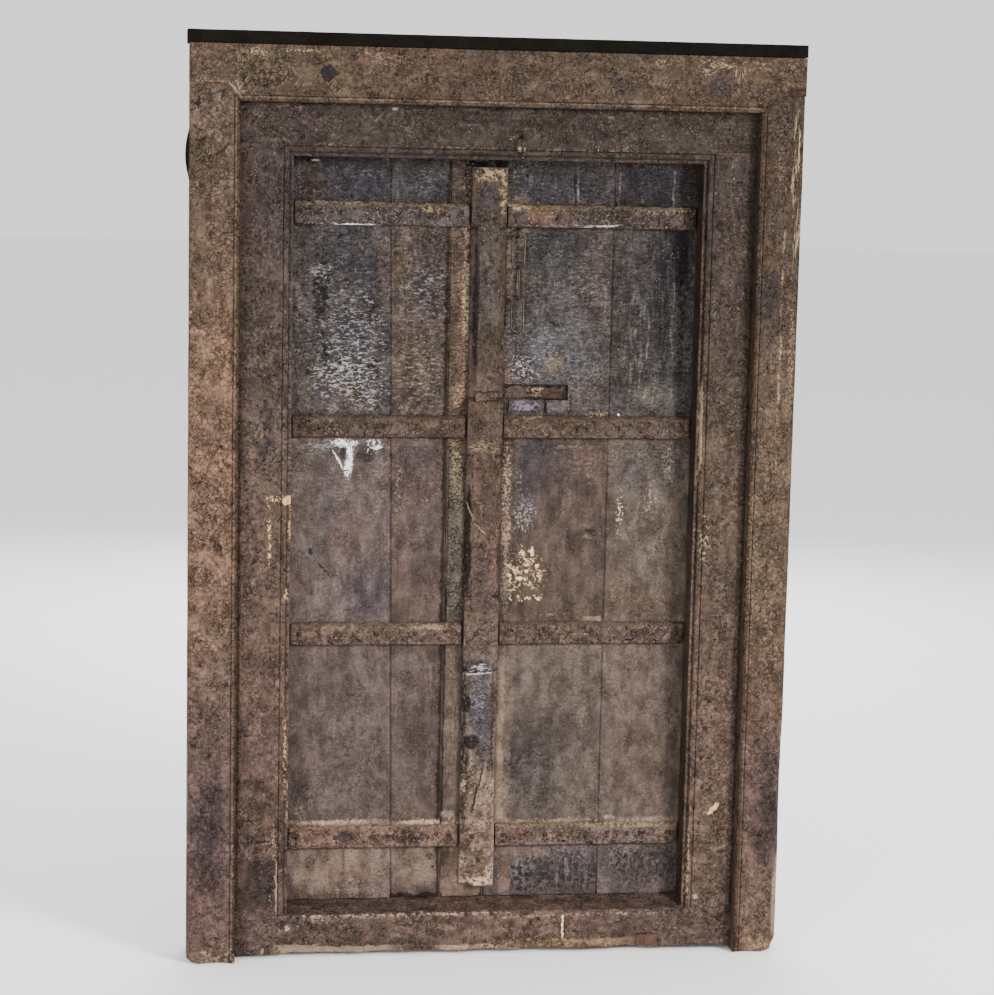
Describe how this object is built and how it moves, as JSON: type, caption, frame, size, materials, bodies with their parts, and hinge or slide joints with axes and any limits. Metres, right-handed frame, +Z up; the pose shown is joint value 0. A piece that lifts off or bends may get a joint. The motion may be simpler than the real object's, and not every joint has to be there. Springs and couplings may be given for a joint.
{
  "type": "plank door",
  "caption": "Two-leaf plank-and-batten door in an outer and an inner moulded frame, with a cover strip over the meeting line and a hanging chain on a staple.",
  "frame": {"origin": "middle of the footprint on the ground: halfway across the overall width, halfway through the frame depth, at the feet of the outer jambs", "axes": "+Z up, the front (chain side) faces -Y, +X to the viewer's right"},
  "size_m": [1.229, 0.12, 1.867],
  "materials": {
    "outer_frame_paint": "thick crackled brown paint on softwood",
    "inner_frame_paint": "thick crackled darker brown paint on softwood",
    "board_paint": "worn grey-brown paint on boards, vertical streaks",
    "batten_paint": "crackled brown paint, dusty upper edges",
    "strip_paint": "worn brown paint over cream paint",
    "dark_cap": "near-black stained wood",
    "bare_wood": "bare reddish wood",
    "filler_wood": "pale painted wood",
    "dark_iron": "dark forged iron, dull"
  },
  "bodies": {
    "frame": {"outer_head": "outer_frame_paint", "outer_jamb_left": "outer_frame_paint", "outer_jamb_right": "outer_frame_paint", "top_cap": "dark_cap", "side_lug": "dark_iron", "inner_head": "inner_frame_paint", "inner_stile_left": "inner_frame_paint", "inner_stile_right": "inner_frame_paint", "inner_sill": "inner_frame_paint", "frame_pegs": "bare_wood", "head_staple": "dark_iron"},
    "left_leaf": {"left_hinge_board": "board_paint", "left_middle_board": "board_paint", "left_meeting_board": "board_paint", "left_batten_1": "batten_paint", "left_batten_2": "batten_paint", "left_batten_3": "batten_paint", "left_batten_4": "batten_paint", "left_batten_nails": "dark_iron", "cover_strip": "strip_paint", "cover_strip_nails": "dark_iron"},
    "right_leaf": {"right_meeting_board": "board_paint", "right_hinge_board": "board_paint", "right_batten_1": "batten_paint", "right_batten_2": "batten_paint", "right_batten_3": "batten_paint", "right_batten_4": "batten_paint", "right_batten_nails": "dark_iron", "lock_patch": "bare_wood", "lock_filler": "filler_wood", "leaf_staple": "dark_iron"},
    "upper_link": {"chain_link_upper": "dark_iron"},
    "middle_link": {"chain_link_middle": "dark_iron"},
    "lower_link": {"chain_link_lower": "dark_iron"}
  },
  "joints": [
    {"name": "right_leaf_pivot", "type": "hinge", "parent": "frame", "child": "right_leaf", "pos_m": [0.4175, 0.046, 0.9], "axis": [0, 0, -1], "range_deg": [0, 90]},
    {"name": "left_leaf_pivot", "type": "hinge", "parent": "frame", "child": "left_leaf", "pos_m": [-0.4025, 0.046, 0.9], "axis": [0, 0, 1], "range_deg": [0, 76.5]},
    {"name": "chain_swing", "type": "hinge", "parent": "right_leaf", "child": "upper_link", "pos_m": [0.0515, 0.0158, 1.481], "axis": [-1, 0, 0], "range_deg": [0, 100]},
    {"name": "middle_link_swing", "type": "hinge", "parent": "upper_link", "child": "middle_link", "pos_m": [0.0515, 0.0158, 1.412], "axis": [-1, 0, 0], "range_deg": [0, 60]},
    {"name": "lower_link_swing", "type": "hinge", "parent": "middle_link", "child": "lower_link", "pos_m": [0.0515, 0.0158, 1.354], "axis": [-1, 0, 0], "range_deg": [0, 60]}
  ],
  "couplings": [
    {"joint": "left_leaf_pivot", "follows": "right_leaf_pivot", "ratio": 0.85}
  ]
}
